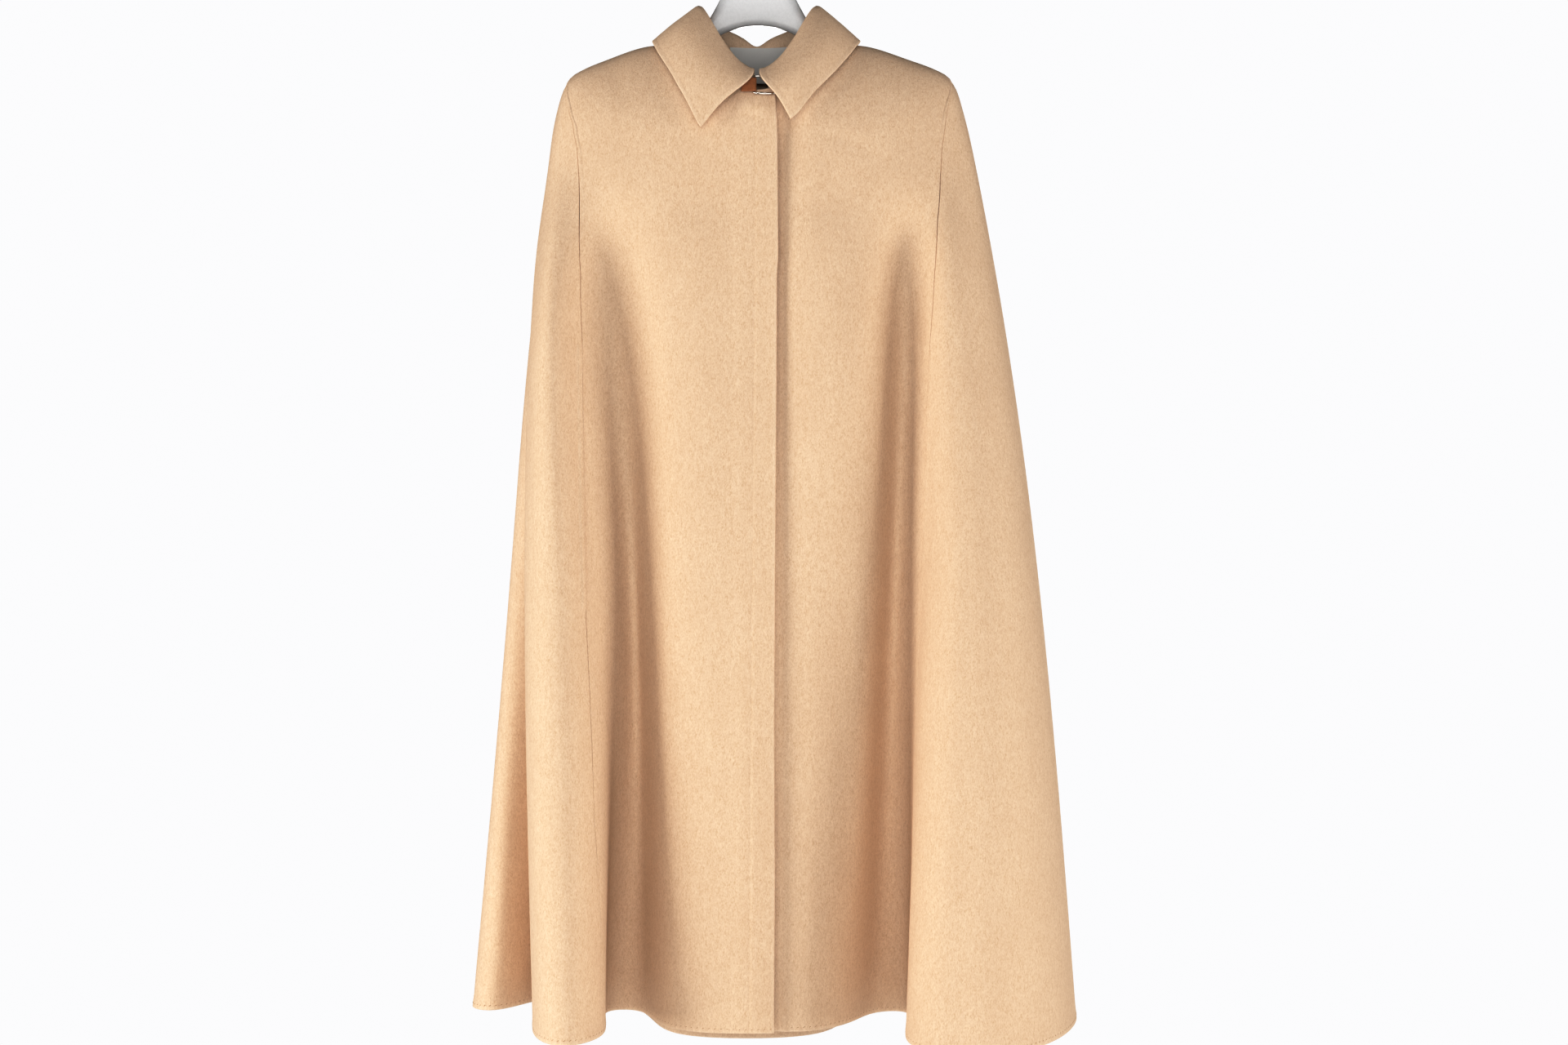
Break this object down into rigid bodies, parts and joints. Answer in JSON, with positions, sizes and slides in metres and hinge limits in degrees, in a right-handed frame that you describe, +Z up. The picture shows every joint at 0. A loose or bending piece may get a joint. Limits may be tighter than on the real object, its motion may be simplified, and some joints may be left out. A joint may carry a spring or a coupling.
{
  "type": "cape on a hanger",
  "caption": "Full-length camel wool cape with a shirt collar, concealed front closing and side gores with arm slits, hanging closed on a moulded hanger.",
  "frame": {"origin": "inside the crown of the hanger's hook, where a rail carries it", "axes": "+Z up, the closed front towards -Y, the wearer's right towards -X"},
  "size_m": [0.6393, 0.303, 1.2157],
  "materials": {
    "wool": "felted wool with a fine short nap, matt",
    "label_tape": "blank white woven tape",
    "leather": "smooth brown leather, semi-gloss",
    "ring_metal": "polished",
    "hanger_plastic": "glossy white",
    "hook_metal": "polished wire"
  },
  "bodies": {
    "root": {"front_right": "wool", "front_left": "wool", "side_right": "wool", "side_left": "wool", "back": "wool", "collar": "wool", "label": "label_tape", "strap_right": "leather", "strap_left": "leather", "ring": "ring_metal", "hanger": "hanger_plastic", "hook": "hook_metal"}
  },
  "joints": []
}
